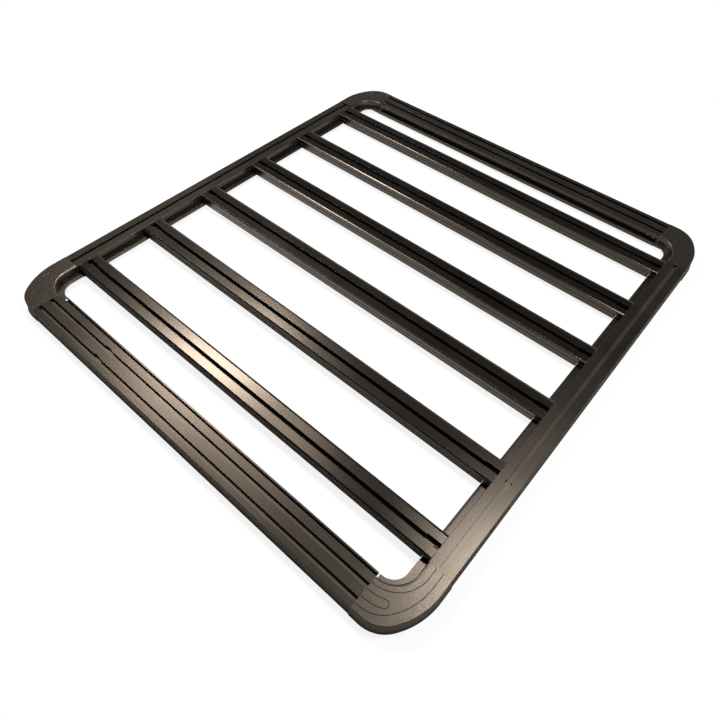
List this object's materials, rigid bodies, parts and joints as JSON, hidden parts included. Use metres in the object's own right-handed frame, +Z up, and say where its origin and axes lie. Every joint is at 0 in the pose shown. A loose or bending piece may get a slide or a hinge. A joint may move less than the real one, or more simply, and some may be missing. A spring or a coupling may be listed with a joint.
{
  "type": "platform roof rack",
  "caption": "Flat platform roof rack: a rounded frame of slotted rails and corner castings carries cross slats with a T-slot along each.",
  "frame": {"origin": "middle of the rack on the plane of its underside", "axes": "+X to the right along the slats, +Y to the rear along the side rails, +Z up"},
  "size_m": [1.376, 1.528, 0.0408],
  "materials": {
    "rail": "satin black coated extrusion",
    "slat": "satin black coated extrusion",
    "casting": "fine textured black powder coat on a casting",
    "key": "sawn mill finish",
    "packer": "moulded black plastic"
  },
  "bodies": {
    "root": {"front_rail": "rail", "rear_rail": "rail", "left_rail": "rail", "right_rail": "rail", "front_left_corner": "casting", "front_right_corner": "casting", "rear_left_corner": "casting", "rear_right_corner": "casting", "front_left_end_key": "key", "front_right_end_key": "key", "rear_left_end_key": "key", "rear_right_end_key": "key", "front_left_side_key": "key", "front_right_side_key": "key", "rear_left_side_key": "key", "rear_right_side_key": "key", "slat_1": "slat", "slat_2": "slat", "slat_3": "slat", "slat_4": "slat", "slat_5": "slat", "slat_6": "slat", "slat_1_left_packer": "packer", "slat_2_left_packer": "packer", "slat_3_left_packer": "packer", "slat_4_left_packer": "packer", "slat_5_left_packer": "packer", "slat_6_left_packer": "packer", "slat_1_right_packer": "packer", "slat_2_right_packer": "packer", "slat_3_right_packer": "packer", "slat_4_right_packer": "packer", "slat_5_right_packer": "packer", "slat_6_right_packer": "packer"}
  },
  "joints": []
}
